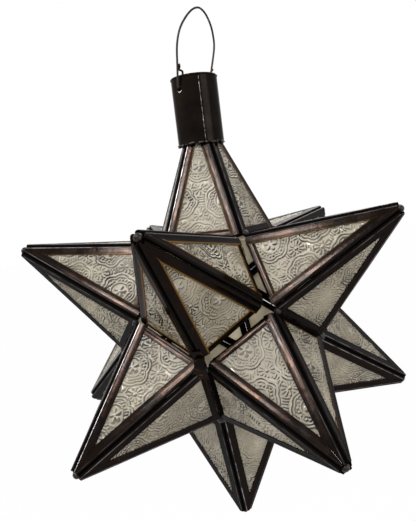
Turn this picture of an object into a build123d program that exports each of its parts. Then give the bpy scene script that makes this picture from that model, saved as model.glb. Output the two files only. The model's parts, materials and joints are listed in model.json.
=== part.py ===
from build123d import *
import os
from math import acos, atan, atan2, cos, degrees, pi, radians, sin, sqrt, tan

# Moravian star pendant: twelve hollow points of glass in folded tin channels, one of them a door,
# under a tin collar that hangs from a wire bail. Millimetres, +Z up. The origin is the place where
# a hook bears on the underside of the bail's top. The door faces -Y.

# ---------------------------------------------------------------- driving dimensions
# star
pane_edge = 55.9  # base edge of a pane, which is an edge of the twelve-sided core
pane_slant = 109.2  # height of a pane's triangle if it ran on to a sharp apex
crown_w = 3.42  # width of a frame across its blunt end

# folded tin channel and glass
ridge_strip_w = 6.5  # width of a channel's face along a ridge
base_strip_w = 5.5  # width of a channel's face along a valley
strip_t = 3.2  # thickness of a channel
strip_bend_r = 1.45  # radius of the channel's rounded back
strip_wall = 0.7  # tin left at the back of the fold
glass_t = 2.0  # pane thickness
glass_bite = 3.6  # how far the glass reaches into a channel
glass_end_w = 2.8  # width of the glass at its blunt end
glass_play = 0.05  # clearance between glass and channel, each side
ridge_gap = 0.06  # between the backs of the two channels at a ridge
valley_gap = 0.3  # between the backs of the two channels in a valley
corner_r = 2.0  # rounding of a frame's base corners
sharp_end_gap = 0.05  # how far short of its sharp apex a pane's outline stops

# door
door_edge = 53.2  # base edge of a door pane
door_shift = 0.7  # how far the door lies off centre, towards its hinge
door_sag = 1.2  # how far the door has dropped along its hinge
door_ajar = 7.5  # opening angle as shown
door_azimuth = -90  # direction of the door round the star
hinge_wire_d = 1.6  # hinge pin
hinge_play = 0.08  # radial running clearance of the pin in the door's knuckle
pin_grip = 0.02  # radial clearance of the pin in the fixed knuckles
knuckle_d = 3.4  # outside of a knuckle
knuckle_l = 7.0  # length of a knuckle
knuckle_gap = 0.3  # end clearance between knuckles
knuckle_spread = 30.0  # between the middles of the two door knuckles
leaf_t = 0.7  # knuckle leaf
leaf_w = 4.2  # how far a leaf lies over its channel
latch_w = 7.0
latch_t = 0.8
latch_reach = 11.0  # how far the latch runs past the door's corner
latch_foot = 9.0  # length of latch soldered to the door's ridge
latch_rise = 4.6  # how far the latch steps out to clear the channels beyond the door
latch_step = 3.5  # length of the bend between its two flats
pin_head_t = 0.7
pin_head_r = 1.4
pin_end_gap = 0.2  # between the pin's heads and the outer knuckles

# solder
drop_r = 3.4  # a drop at a corner of the core
drop_out = 1.0  # how far it stands out of the corner point
door_drop_r = 2.3  # a drop beside the door's opening
door_drop_back = 3.6  # how far it keeps back from the opening's corner
tip_drop_r = 2.6  # a drop in a blunt tip
tip_drop_out = 1.2
collar_solder_t = 0.6  # fillet of solder inside the collar's lower edge
collar_solder_h = 3.0

# collar
collar_d = 33.4
collar_wall = 0.8
collar_play = 0.6558  # between the top point's ridges and the collar's lower edge, filled with solder
collar_l = 47.9
rim_bead = 0.45  # how far the rolled rim stands out
rim_h = 1.6
seam_w = 4.5  # width of the lapped seam
seam_t = 0.5
seam_azimuth = -67
panes_into_collar = 5.0

# bail
wire_d = 1.5
hinge_below_rim = 8.3
bail_azimuth = -119  # direction of the bail's left leg
bail_lean = 11.6  # lean of the bail off upright, as shown
hole_w = 3.0
hole_h = 4.4
hole_top_gap = 0.2  # between the wire and the top of its hole
leg_out = 18.2  # bail leg from the collar's axis, outside the wall
tail_in = 13.6  # bail tail from the collar's axis, inside the wall
tail_rise = 11.7  # height over the hinge where the tail crosses the rim
tail_gap = 0.4  # between the tail's end and the leg
wire_bend_r = 1.3
left_knee = (-19.2, 14.0)  # where the left leg runs into the loop, across and above the hinge
right_knee = (17.8, 14.0)
loop_points = [
    (-20.1, 27.0),
    (-18.2, 37.4),
    (-13.1, 45.9),
    (-5.7, 53.0),
    (1.6, 55.5),
    (8.7, 52.8),
    (14.7, 46.6),
    (18.3, 39.5),
    (20.1, 30.5),
]  # the bail's loop, across and above its hinge

# lampholder
disc_t = 1.2
disc_z = 150.0  # underside of the collar's disc, above the star's centre
disc_gap = 0.05  # between the disc and the collar's wall
nipple_d = 10.0  # hollow threaded nipple
nipple_bore = 7.0
nipple_above = 7.0  # how much of it stands over its nut
nipple_into_cap = 2.0
nipple_chamfer = 0.4
thread_play = 0.1
nut_flats = 14.0
nut_t = 3.0
washer_d = 19.0
washer_t = 1.0
holder_d = 27.0
holder_clear = 1.0  # between the holder and the channels inside the top point
holder_wall = 2.2
cap_l = 20.0
cap_top_t = 3.0
cap_round = 3.0
body_l = 28.0
body_floor_t = 3.0
body_round = 1.2
spigot_l = 3.0
shell_d = 14.9  # outside of the screw shell
shell_t = 0.4
shell_l = 20.0
shell_back = 1.5  # from the holder's rim to the shell
contact_w = 9.0
contact_t = 0.6
rivet_d = 2.4
terminal_d = 3.2
terminal_l = 6.0
terminal_head_d = 5.0
terminal_head_l = 1.8
terminal_reach = 6.5  # from the axis to a terminal screw

# lamp
lamp_gap = 0.1  # between the lamp's contact and the holder's
lamp_button_d = 5.0
lamp_button_l = 1.5
lamp_button_chamfer = 0.5
lamp_disc_l = 1.5
lamp_disc_d = 11.9
lamp_disc_chamfer = 1.0
lamp_cap_d = 13.9
lamp_cap_l = 18.0
lamp_cap_t = 0.35
lamp_neck_d = 12.6
neck_into_cap = 10.0
neck_below_rim = 2.0  # how far the straight neck runs below the holder
lamp_d = 45.0
lamp_glass_t = 0.7
stem_gap = 0.1
stem_rod_d = 4.0
stem_rod_l = 24.0
stem_flare_l = 2.0
stem_round = 0.8
lead_d = 0.6
lead_spread = 9.0  # from the axis to the end of a lead
lead_drop = 12.0  # from the stem's end to the filament
lead_gap = 0.05  # between a lead and the side of the stem
lead_up = 4.0  # how far a lead runs up beside the stem
lead_down = 2.0  # how far it runs on below the stem before it spreads
lead_turn = 2.0  # length of its last bend above the filament
lead_bend_r = 0.8
filament_d = 0.5
filament_rise = 1.5  # how far the filament's middle stands over its ends

# ---------------------------------------------------------------- the star's own geometry
core_in = pane_edge * sqrt(250 + 110 * sqrt(5)) / 20  # centre to a five-sided opening
base_in = pane_edge / (2 * tan(radians(36)))  # middle of an opening to its edge
core_out = pane_edge * sqrt(3) * (1 + sqrt(5)) / 4  # centre to a corner of the core
point_h = sqrt(pane_slant**2 - base_in**2)
apex = core_in + point_h  # centre to a sharp apex
door_in = door_edge / (2 * tan(radians(36)))
door_slant = sqrt(point_h**2 + door_in**2)
core_dihedral = acos(-1 / sqrt(5))  # between two neighbouring openings
valley_half = pi - core_dihedral / 2 - atan2(point_h, base_in)  # half the angle of a valley
# half the angle of a ridge, on the door, whose ridges are the sharper
ridge_cos = (point_h**2 * cos(2 * pi / 5) + door_in**2) / door_slant**2
ridge_half = (pi - acos(ridge_cos)) / 2
# From a ridge line to the back of a channel, and how far a base channel reaches over a valley
# line: the rounded backs pass each other with the gaps above.
back_in = strip_bend_r + ridge_gap / 2 + (strip_t - strip_bend_r) * cos(ridge_half)
ridge_inset = back_in / sin(ridge_half) - strip_bend_r
back_in = strip_bend_r + valley_gap / 2 - strip_bend_r * cos(valley_half)
valley_reach = strip_bend_r - back_in / sin(valley_half)
glass_inset = ridge_inset + ridge_strip_w - glass_bite
# how far the rounded backs at a ridge lie under the ridge line
round_drop = (ridge_inset + strip_bend_r) * cos(ridge_half)
round_drop += strip_bend_r * sin(ridge_half) - strip_bend_r

collar_r = collar_d / 2
# the collar goes down over the top point until its lower edge is collar_play off the ridges
base_out = base_in / cos(pi / 5)
ridge_r = collar_r - collar_wall - collar_play
ridge_r += round_drop * sqrt(point_h**2 + base_out**2) / point_h
collar_bottom = core_in + point_h * (1 - ridge_r / base_out)  # above the star's centre
collar_top = collar_bottom + collar_l
bail_hinge_z = collar_top - hinge_below_rim

# The bail leans, so the hook's place is off the star's axis.
bail_side = Vector(cos(radians(bail_azimuth)), sin(radians(bail_azimuth)), 0)
bail_across = -bail_side
bail_front = bail_across.cross(Vector(0, 0, 1))
bail_up = Vector(0, 0, cos(radians(bail_lean))) + bail_front * sin(radians(bail_lean))
top_u, top_w = loop_points[4]
hook = bail_across * top_u + bail_up * (top_w - wire_d / 2) + Vector(0, 0, bail_hinge_z)
centre = -hook  # the star's centre in the part's frame


def along(azimuth, latitude):
    """Unit vector at an azimuth and a latitude, in degrees."""
    a, b = radians(azimuth), radians(latitude)
    return Vector(cos(a) * cos(b), sin(a) * cos(b), sin(b))


ring_latitude = degrees(atan(1 / 2))
fifth = 360 / 5
points = {"top": Vector(0, 0, 1), "bottom": Vector(0, 0, -1)}
upper_names = ["door", "upper_right", "upper_back_right", "upper_back_left", "upper_left"]
lower_names = ["lower_front_right", "lower_right", "lower_back", "lower_left", "lower_front_left"]
for i in range(5):
    points[upper_names[i]] = along(door_azimuth + fifth * i, ring_latitude)
    points[lower_names[i]] = along(door_azimuth + fifth * (i + 0.5), -ring_latitude)


def neighbours(name):
    """The five points that share a valley with this one."""
    here = points[name]
    return [other for other in points if other != name and here.dot(points[other]) > 0]


def pane_plane(name, other, inside=base_in, shift=Vector(0, 0, 0)):
    """Plane of the pane of one point that faces another: X along its base, Y up it, Z out of it."""
    out = points[name]
    towards = points[other] - out * points[other].dot(out)
    towards = towards.normalized()
    slant = sqrt(point_h**2 + inside**2)
    normal = (towards * point_h + out * inside) * (1 / slant)
    up = (out * point_h - towards * inside) * (1 / slant)
    foot = centre + out * core_in + towards * inside + shift
    return Plane(origin=foot, x_dir=up.cross(normal), z_dir=normal)


def pane_planes(name):
    return [pane_plane(name, other) for other in neighbours(name)]


def corner_of(*names):
    """Direction from the centre to the core's corner where three points meet."""
    total = Vector(0, 0, 0)
    for name in names:
        total += points[name]
    return total.normalized()


# ---------------------------------------------------------------- one framed pane
def outline(edge, slant, inset, low, high):
    """Pane triangle drawn in by inset at its sides, from height low to height high."""
    side = inset / cos(atan(edge / 2 / slant))
    high = min(high, slant * (1 - 2 * side / edge) - sharp_end_gap)

    def half(y):
        return edge / 2 * (1 - y / slant) - side

    return Polyline(
        (-half(low), low), (half(low), low), (half(high), high), (-half(high), high), close=True
    )


def height_at(edge, slant, inset, width):
    """How far up a pane its sides, drawn in by inset, are width apart."""
    return slant * (1 - (width + 2 * inset / cos(atan(edge / 2 / slant))) / edge)


def make_frame(edge, slant, top_y):
    """A folded channel round one pane. Its outer face lies at Z 0."""
    middle = -strip_t / 2
    slot_t = glass_t + 2 * glass_play
    with BuildPart() as frame:
        with BuildSketch():
            with BuildLine():
                outline(edge, slant, ridge_inset, -valley_reach, top_y)
            make_face()
            fillet(vertices().group_by(Axis.Y)[0], corner_r)
        extrude(amount=-strip_t)
        backs = [
            e
            for e in edges()
            if abs(abs(e.center().Z + strip_t / 2) - strip_t / 2) < 1e-6
            and e.center().Y < top_y - 1e-3
        ]
        fillet(backs, strip_bend_r)
        with BuildSketch():
            with BuildLine():
                outline(
                    edge,
                    slant,
                    ridge_inset + ridge_strip_w,
                    base_strip_w - valley_reach,
                    top_y + ridge_strip_w,
                )
            make_face()
        extrude(amount=-strip_t, mode=Mode.SUBTRACT)
        with BuildSketch(Plane.XY.offset(middle - slot_t / 2)):
            with BuildLine():
                outline(
                    edge,
                    slant,
                    ridge_inset + strip_wall,
                    strip_wall - valley_reach,
                    top_y + ridge_strip_w,
                )
            make_face()
            fillet(vertices().group_by(Axis.Y)[0], corner_r)
        extrude(amount=slot_t, mode=Mode.SUBTRACT)
    return frame.part


def make_glass(edge, slant, top_y):
    """The glass in one frame, as deep in the channels as glass_bite."""
    with BuildPart() as glass:
        with BuildSketch(Plane.XY.offset(-strip_t / 2 - glass_t / 2)):
            with BuildLine():
                outline(edge, slant, glass_inset, base_strip_w - glass_bite - valley_reach, top_y)
            make_face()
            fillet(vertices().group_by(Axis.Y)[0], corner_r)
        extrude(amount=glass_t)
    return glass.part


tip_y = height_at(pane_edge, pane_slant, ridge_inset, crown_w)
glass_tip_y = height_at(pane_edge, pane_slant, glass_inset, glass_end_w)
collar_y = (collar_bottom + panes_into_collar - core_in) * pane_slant / point_h
pane_frame = make_frame(pane_edge, pane_slant, tip_y)
pane_glass = make_glass(pane_edge, pane_slant, glass_tip_y)
top_frame = make_frame(pane_edge, pane_slant, collar_y)
top_glass = make_glass(pane_edge, pane_slant, collar_y - glass_play)
door_tip_y = tip_y + door_slant - pane_slant
door_frame = make_frame(door_edge, door_slant, door_tip_y)
door_glass_y = height_at(door_edge, door_slant, glass_inset, glass_end_w)
door_pane = make_glass(door_edge, door_slant, door_glass_y)

os.makedirs("parts", exist_ok=True)


def save(part, name):
    part.label = name
    export_step(part, f"parts/{name}.step")


# ---------------------------------------------------------------- the eleven fixed points
for name in points:
    if name == "door":
        continue
    places = [plane.location for plane in pane_planes(name)]
    with BuildPart() as point_frames:
        with Locations(*places):
            add(top_frame if name == "top" else pane_frame)
    save(point_frames.part, f"{name}_point_frames")
    with BuildPart() as point_glass:
        with Locations(*places):
            add(top_glass if name == "top" else pane_glass)
    save(point_glass.part, f"{name}_point_glass")


# ---------------------------------------------------------------- the door, modelled shut and swung
corner_e = centre + corner_of("top", "door", "upper_left") * core_out
corner_d = centre + corner_of("door", "upper_left", "lower_front_left") * core_out
hinge_up = (corner_e - corner_d).normalized()
hinge_mid = (corner_e + corner_d) * 0.5
hinge_out = (hinge_mid - centre).normalized()
hinge_face = pane_plane("upper_left", "door")  # the fixed pane beside the hinge
knuckle_r = knuckle_d / 2
pivot = hinge_mid + hinge_out * (knuckle_r / sin(valley_half))
hinge_side = hinge_out - points["door"] * hinge_out.dot(points["door"])
hinge_side = hinge_side.normalized()
door_offset = hinge_side * door_shift - hinge_up * door_sag
swing = Location(pivot, -hinge_up, door_ajar) * Location(-pivot)

door_planes = [pane_plane("door", other, door_in, door_offset) for other in neighbours("door")]
door_places = [swing * plane.location for plane in door_planes]
with BuildPart() as door_frames:
    with Locations(*door_places):
        add(door_frame)
save(door_frames.part, "door_point_frames")
with BuildPart() as door_glass:
    with Locations(*door_places):
        add(door_pane)
save(door_glass.part, "door_point_glass")

# hinge knuckles: each is a tube round the pin with a leaf on the face of its pane's channel
hinge_across = hinge_up.cross(hinge_out)
door_hinge_face = pane_plane("door", "upper_left", door_in, door_offset)


def hinge_section(height):
    """Plane across the hinge, at a height along it."""
    return Plane(origin=pivot + hinge_up * height, x_dir=hinge_across, z_dir=hinge_up)


def make_knuckle(height, face, bore_r, swung):
    section = hinge_section(height - knuckle_l / 2)
    face_d = (pivot - face.origin).dot(face.z_dir)

    def at(up, out):
        """Point of the section, up along the face from the pin and out from the pin."""
        spot = face.y_dir * up + face.z_dir * out
        return (spot.dot(section.x_dir), spot.dot(section.y_dir))

    with BuildPart() as piece:
        with BuildSketch(Plane(swung * section.location)):
            Circle(knuckle_r)
            with BuildLine():
                Polyline(
                    at(0, -knuckle_r),
                    at(knuckle_r, -face_d),
                    at(leaf_w, -face_d),
                    at(leaf_w, leaf_t - face_d),
                    at(knuckle_r, leaf_t - face_d),
                    at(bore_r, 0),
                    close=True,
                )
            make_face()
            Circle(bore_r, mode=Mode.SUBTRACT)
        extrude(amount=knuckle_l)
    return piece.part


pin_r = hinge_wire_d / 2
low_fixed = -knuckle_spread / 2
high_fixed = knuckle_spread / 2
low_door = low_fixed + knuckle_l + knuckle_gap
high_door = high_fixed - knuckle_l - knuckle_gap - door_sag
with BuildPart() as hinge_knuckles:
    for height in (low_fixed, high_fixed):
        add(make_knuckle(height, hinge_face, pin_r + pin_grip, Location()))
save(hinge_knuckles.part, "hinge_knuckles")
with BuildPart() as door_knuckles:
    for height in (low_door, high_door):
        add(make_knuckle(height, door_hinge_face, pin_r + hinge_play, swing))
save(door_knuckles.part, "door_knuckles")

pin_l = knuckle_spread + knuckle_l + 2 * pin_end_gap
with BuildPart() as hinge_pin:
    with BuildSketch(hinge_section(-pin_l / 2)):
        Circle(pin_r)
    extrude(amount=pin_l)
    with BuildSketch(hinge_section(-pin_l / 2 - pin_head_t), hinge_section(pin_l / 2)):
        Circle(pin_head_r)
    extrude(amount=pin_head_t)
save(hinge_pin.part, "hinge_pin")

# latch tab: soldered along the ridge that ends at the door's lower corner, and bent out past it
door_out = points["door"]
foot_dir = corner_of("door", "lower_front_left", "lower_front_right")
foot_dir = (foot_dir - door_out * foot_dir.dot(door_out)).normalized()
latch_corner = centre + door_out * core_in + foot_dir * (door_in / cos(pi / 5)) + door_offset
latch_run = (latch_corner - (centre + door_out * apex + door_offset)).normalized()
latch_lift = (foot_dir - latch_run * foot_dir.dot(latch_run)).normalized()
# the flat tab bears on the ridge's two rounded backs
latch_plane = Plane(origin=latch_corner, x_dir=latch_run, z_dir=latch_run.cross(latch_lift))
with BuildPart() as latch_tab:
    with BuildSketch(Plane(swing * latch_plane.location)):
        with BuildLine():
            Polyline(
                (-latch_foot, -round_drop),
                (-latch_step / 2, -round_drop),
                (latch_step / 2, latch_rise),
                (latch_reach, latch_rise),
                (latch_reach, latch_rise + latch_t),
                (latch_step / 2 - latch_t / 2, latch_rise + latch_t),
                (-latch_step / 2 - latch_t / 2, latch_t - round_drop),
                (-latch_foot, latch_t - round_drop),
                close=True,
            )
        make_face()
    extrude(amount=latch_w / 2, both=True)
save(latch_tab.part, "door_latch_tab")


# ---------------------------------------------------------------- solder
def frames_of(*names):
    """The framed panes of some fixed points, to cut solder by."""
    return [plane.location * pane_frame for name in names for plane in pane_planes(name)]


def corner_plane(*names):
    """Plane at a corner of the core, Z out of the star, X towards the first point."""
    out = corner_of(*names)
    towards = points[names[0]] - out * out.dot(points[names[0]])
    return Plane(origin=centre + out * core_out, x_dir=towards, z_dir=out)


def largest(part):
    return part.solids().sort_by(SortBy.VOLUME)[-1]


def cut_drop(place, radius, pieces):
    """A drop of solder at a place, cut by the pieces that it joins."""
    with BuildPart() as drop:
        with Locations(place):
            Sphere(radius)
        add(pieces, mode=Mode.SUBTRACT)
    return largest(drop.part)


corners = []
names = list(points)
for i in range(len(names)):
    for j in range(i + 1, len(names)):
        for k in range(j + 1, len(names)):
            trio = (names[i], names[j], names[k])
            if names[j] in neighbours(names[i]) and names[k] in neighbours(names[i]):
                if names[k] in neighbours(names[j]):
                    corners.append(trio)

# one drop is made at a back corner and repeated at the fifteen corners away from the door
model_trio = ("bottom", "lower_back", "lower_left")
model_plane = corner_plane(*model_trio)
drop_at = model_plane * Location((0, 0, drop_out - drop_r))
model_drop = cut_drop(drop_at, drop_r, frames_of(*model_trio))
with BuildPart() as corner_solder:
    for trio in corners:
        if "door" not in trio:
            add((corner_plane(*trio).location * model_plane.location.inverse()) * model_drop)
save(corner_solder.part, "corner_solder")

# beside the door's opening a smaller drop joins the two fixed points, clear of the door
with BuildPart() as opening_solder:
    for trio in corners:
        if "door" in trio:
            fixed = [name for name in trio if name != "door"]
            plane = corner_plane("door", *fixed)
            drop_at = plane * Location((-door_drop_back, 0, -door_drop_r / 2))
            add(cut_drop(drop_at, door_drop_r, frames_of(*fixed)))
save(opening_solder.part, "opening_solder")


def point_plane(name):
    """Plane at the star's centre, Z along a point, X towards one of its neighbours."""
    out = points[name]
    towards = points[neighbours(name)[0]]
    return Plane(origin=centre, x_dir=towards - out * towards.dot(out), z_dir=out)


blunt_end = core_in + tip_y * point_h / pane_slant  # centre to the rim of a blunt tip
tip_at = point_plane("bottom") * Location((0, 0, blunt_end + tip_drop_out - tip_drop_r))
model_tip = cut_drop(tip_at, tip_drop_r, frames_of("bottom"))
with BuildPart() as tip_solder:
    for name in points:
        if name not in ("top", "door"):
            move = point_plane(name).location * point_plane("bottom").location.inverse()
            add(move * model_tip)
save(tip_solder.part, "tip_solder")

door_end = core_in + door_tip_y * point_h / door_slant
door_tip_at = Location(door_offset) * (
    point_plane("door") * Location((0, 0, door_end + tip_drop_out - tip_drop_r))
)
shut_frames = [plane.location * door_frame for plane in door_planes]
with BuildPart() as door_tip_solder:
    add(swing * cut_drop(door_tip_at, tip_drop_r, shut_frames))
save(door_tip_solder.part, "door_tip_solder")

# ---------------------------------------------------------------- collar
up = Vector(0, 0, 1)
star_axis = Axis(centre, up)
half_plane = Plane(origin=centre, x_dir=(1, 0, 0), z_dir=(0, -1, 0))  # X out, Y up


def across_axis(height):
    """Level plane at a height above the star's centre."""
    return Plane(origin=centre + up * height)


collar_in = collar_r - collar_wall
hole_z = bail_hinge_z + wire_d / 2 + hole_top_gap - hole_h / 2
with BuildPart() as collar:
    with BuildSketch(half_plane):
        with Locations((collar_in, collar_bottom)):
            Rectangle(collar_wall, collar_l, align=(Align.MIN, Align.MIN))
        with Locations((collar_r + rim_bead - rim_h / 2, collar_top - rim_h / 2)):
            Circle(rim_h / 2)
    revolve(axis=star_axis)
    turn = Location(centre, up, seam_azimuth) * Location(-centre)
    with BuildSketch(Plane(turn * half_plane.location)):
        with Locations((collar_r - collar_wall / 2, collar_bottom)):
            Rectangle(
                collar_wall / 2 + seam_t, collar_l - rim_h, align=(Align.MIN, Align.MIN)
            )
    revolve(axis=star_axis, revolution_arc=degrees(seam_w / collar_r))
    with BuildSketch(Plane(origin=centre + up * hole_z, x_dir=bail_front, z_dir=bail_across)):
        SlotOverall(hole_h, hole_w, rotation=90)
    extrude(amount=collar_d, both=True, mode=Mode.SUBTRACT)
save(collar.part, "collar")

# a fillet of solder round the inside of the collar's lower edge, against the ridges
fillet_in = collar_in - collar_solder_t
with BuildPart() as collar_solder:
    with BuildSketch(half_plane):
        with BuildLine():
            Polyline(
                (fillet_in, collar_bottom),
                (collar_in, collar_bottom),
                (collar_in, collar_bottom + collar_solder_h),
                close=True,
            )
        make_face()
    revolve(axis=star_axis)
save(collar_solder.part, "collar_solder")

# ---------------------------------------------------------------- bail
bail_plane = Plane(
    origin=centre + up * bail_hinge_z, x_dir=bail_across, z_dir=bail_across.cross(bail_up)
)
tail_end = leg_out - wire_d - tail_gap
with BuildPart() as flat_bail:
    with BuildLine():
        left = FilletPolyline(
            (-tail_end, tail_rise), (-tail_in, tail_rise), (-tail_in, 0), (-leg_out, 0), left_knee,
            radius=wire_bend_r,
        )
        FilletPolyline(
            right_knee, (leg_out, 0), (tail_in, 0), (tail_in, tail_rise), (tail_end, tail_rise),
            radius=wire_bend_r,
        )
        loop_ends = (
            (left_knee[0] + leg_out, left_knee[1]),
            (leg_out - right_knee[0], -right_knee[1]),
        )
        Spline(left_knee, *loop_points, right_knee, tangents=loop_ends)
    with BuildSketch(Plane(origin=left @ 0, z_dir=left % 0)):
        Circle(wire_d / 2)
    sweep()
with BuildPart() as bail:
    with Locations(bail_plane.location):
        add(flat_bail.part)
save(bail.part, "bail_wire")

# ---------------------------------------------------------------- lampholder
holder_r = holder_d / 2
lean = base_in / point_h  # how fast the top point narrows
holder_top = apex - (holder_r + holder_clear + strip_t * pane_slant / point_h) / lean
body_top = holder_top - cap_l
holder_rim = body_top - body_l


def tube(low, high, outer_d, inner_d=0.0):
    """A round piece on the star's axis."""
    with BuildPart() as piece:
        with BuildSketch(across_axis(low)):
            Circle(outer_d / 2)
            if inner_d > 0:
                Circle(inner_d / 2, mode=Mode.SUBTRACT)
        extrude(amount=high - low)
    return piece.part


disc_top = disc_z + disc_t
washer_top = disc_top + washer_t
nut_top = washer_top + nut_t
nipple_hole = nipple_d + 2 * thread_play
save(tube(disc_z, disc_top, 2 * (collar_in - disc_gap), nipple_hole), "collar_disc")
save(tube(disc_top, washer_top, washer_d, nipple_hole), "nipple_washer")
nipple_low = holder_top - cap_top_t - nipple_into_cap
nipple_high = nut_top + nipple_above
with BuildPart() as nipple:
    add(tube(nipple_low, nipple_high, nipple_d, nipple_bore))
    chamfer(edges().filter_by(GeomType.CIRCLE), nipple_chamfer)
save(nipple.part, "cord_nipple")
with BuildPart() as nuts:
    for low in (washer_top, holder_top):
        with BuildSketch(across_axis(low)):
            RegularPolygon(nut_flats / 2, 6, major_radius=False)
            Circle(nipple_hole / 2, mode=Mode.SUBTRACT)
        extrude(amount=nut_t)
save(nuts.part, "nipple_nuts")

with BuildPart() as holder_cap:
    add(tube(body_top, holder_top, holder_d, nipple_hole))
    outer = edges().filter_by(GeomType.CIRCLE).group_by(Axis.Z)[-1].sort_by(SortBy.RADIUS)[-1]
    fillet(outer, cap_round)
    add(tube(body_top, holder_top - cap_top_t, holder_d - 2 * holder_wall), mode=Mode.SUBTRACT)
save(holder_cap.part, "lampholder_cap")

shell_bore = shell_d + 2 * thread_play
floor_z = body_top - body_floor_t
with BuildPart() as holder_body:
    add(tube(holder_rim, body_top, holder_d))
    add(tube(body_top, body_top + spigot_l, holder_d - 2 * (holder_wall + thread_play)))
    add(tube(holder_rim, floor_z, shell_bore), mode=Mode.SUBTRACT)
    add(tube(floor_z, body_top + spigot_l, rivet_d + thread_play), mode=Mode.SUBTRACT)
    outer = edges().filter_by(GeomType.CIRCLE).group_by(Axis.Z)[0].sort_by(SortBy.RADIUS)[-1]
    fillet(outer, body_round)
save(holder_body.part, "lampholder_body")

shell_low = holder_rim + shell_back
save(tube(shell_low, shell_low + shell_l, shell_d, shell_d - 2 * shell_t), "screw_shell")
with BuildPart() as contact:
    add(tube(floor_z - contact_t, floor_z, contact_w))
    add(tube(floor_z, body_top + spigot_l, rivet_d))
save(contact.part, "centre_contact")
with BuildPart() as terminals:
    terminal_z = body_top + spigot_l
    places = [(terminal_reach, 0), (-terminal_reach, 0)]
    with BuildSketch(across_axis(terminal_z)):
        with Locations(*places):
            Circle(terminal_d / 2)
    extrude(amount=terminal_l)
    with BuildSketch(across_axis(terminal_z + terminal_l - terminal_head_l)):
        with Locations(*places):
            Circle(terminal_head_d / 2)
    extrude(amount=terminal_head_l)
save(terminals.part, "terminal_screws")

# ---------------------------------------------------------------- lamp
button_top = floor_z - contact_t - lamp_gap
button_low = button_top - lamp_button_l
lamp_disc_low = button_low - lamp_disc_l
lamp_cap_low = lamp_disc_low - lamp_cap_l
with BuildPart() as lamp_contact:
    add(tube(button_low, button_top, lamp_button_d))
    chamfer(edges().group_by(Axis.Z)[-1], lamp_button_chamfer)
save(lamp_contact.part, "lamp_contact")
with BuildPart() as lamp_insulator:
    add(tube(lamp_disc_low, button_low, lamp_disc_d))
    chamfer(edges().group_by(Axis.Z)[-1], lamp_disc_chamfer)
save(lamp_insulator.part, "lamp_insulator")
with BuildPart() as lamp_cap:
    add(tube(lamp_cap_low, lamp_disc_low, lamp_cap_d))
    add(
        tube(lamp_cap_low, lamp_disc_low - lamp_cap_t, lamp_cap_d - 2 * lamp_cap_t),
        mode=Mode.SUBTRACT,
    )
save(lamp_cap.part, "lamp_cap")

neck_r = lamp_neck_d / 2
neck_top = lamp_cap_low + neck_into_cap
neck_low = holder_rim - neck_below_rim
globe_z = neck_low - sqrt((lamp_d / 2) ** 2 - neck_r**2)


def lamp_form(inset):
    """The lamp's round glass with its neck, drawn in by inset."""
    with BuildPart() as piece:
        with Locations(centre + up * globe_z):
            Sphere(lamp_d / 2 - inset)
        add(tube(globe_z, neck_top, 2 * (neck_r - inset)))
    return piece.part


with BuildPart() as lamp_glass:
    add(lamp_form(0))
    add(lamp_form(lamp_glass_t), mode=Mode.SUBTRACT)
save(lamp_glass.part, "lamp_glass")

stem_top = neck_top
stem_low = stem_top - stem_rod_l
with BuildPart() as stem:
    add(tube(stem_top - stem_flare_l, stem_top, lamp_neck_d - 2 * (lamp_glass_t + stem_gap)))
    add(tube(stem_low, stem_top - stem_flare_l, stem_rod_d))
    fillet(edges().group_by(Axis.Z)[0], stem_round)
save(stem.part, "lamp_stem")

lead_plane = Plane(origin=centre + up * stem_low, x_dir=(1, 0, 0), z_dir=(0, -1, 0))
lead_root = stem_rod_d / 2 + lead_d / 2 + lead_gap
with BuildPart() as filament:
    with BuildLine(lead_plane):
        FilletPolyline(
            (-lead_root, lead_up), (-lead_root, -lead_down),
            (-lead_spread, lead_turn - lead_drop), (-lead_spread, -lead_drop),
            (0, filament_rise - lead_drop), (lead_spread, -lead_drop),
            (lead_spread, lead_turn - lead_drop), (lead_root, -lead_down), (lead_root, lead_up),
            radius=lead_bend_r,
        )
    lead_tip = lead_plane.from_local_coords((-lead_root, lead_up, 0))
    with BuildSketch(Plane(origin=lead_tip, z_dir=-lead_plane.y_dir)):
        Circle(filament_d / 2)
    sweep()
save(filament.part, "lamp_filament")
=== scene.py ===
import json
import math

import bmesh
import bpy
import numpy as np
from mathutils import Matrix, Vector


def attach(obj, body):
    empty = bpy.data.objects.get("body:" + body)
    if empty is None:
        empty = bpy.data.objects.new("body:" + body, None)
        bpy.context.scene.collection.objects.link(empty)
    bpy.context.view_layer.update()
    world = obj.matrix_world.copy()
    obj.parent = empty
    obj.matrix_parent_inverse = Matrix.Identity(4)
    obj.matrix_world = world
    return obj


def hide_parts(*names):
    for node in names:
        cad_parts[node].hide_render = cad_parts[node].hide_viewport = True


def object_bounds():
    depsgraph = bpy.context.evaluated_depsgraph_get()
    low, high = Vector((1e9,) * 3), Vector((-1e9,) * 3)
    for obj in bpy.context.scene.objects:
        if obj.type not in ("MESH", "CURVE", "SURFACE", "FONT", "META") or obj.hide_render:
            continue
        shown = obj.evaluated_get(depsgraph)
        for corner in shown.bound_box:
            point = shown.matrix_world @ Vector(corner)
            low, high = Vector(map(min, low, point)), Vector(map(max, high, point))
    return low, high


# A moravian star pendant: embossed glass in dark tin channels, hung by a wire bail. Metres.

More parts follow.
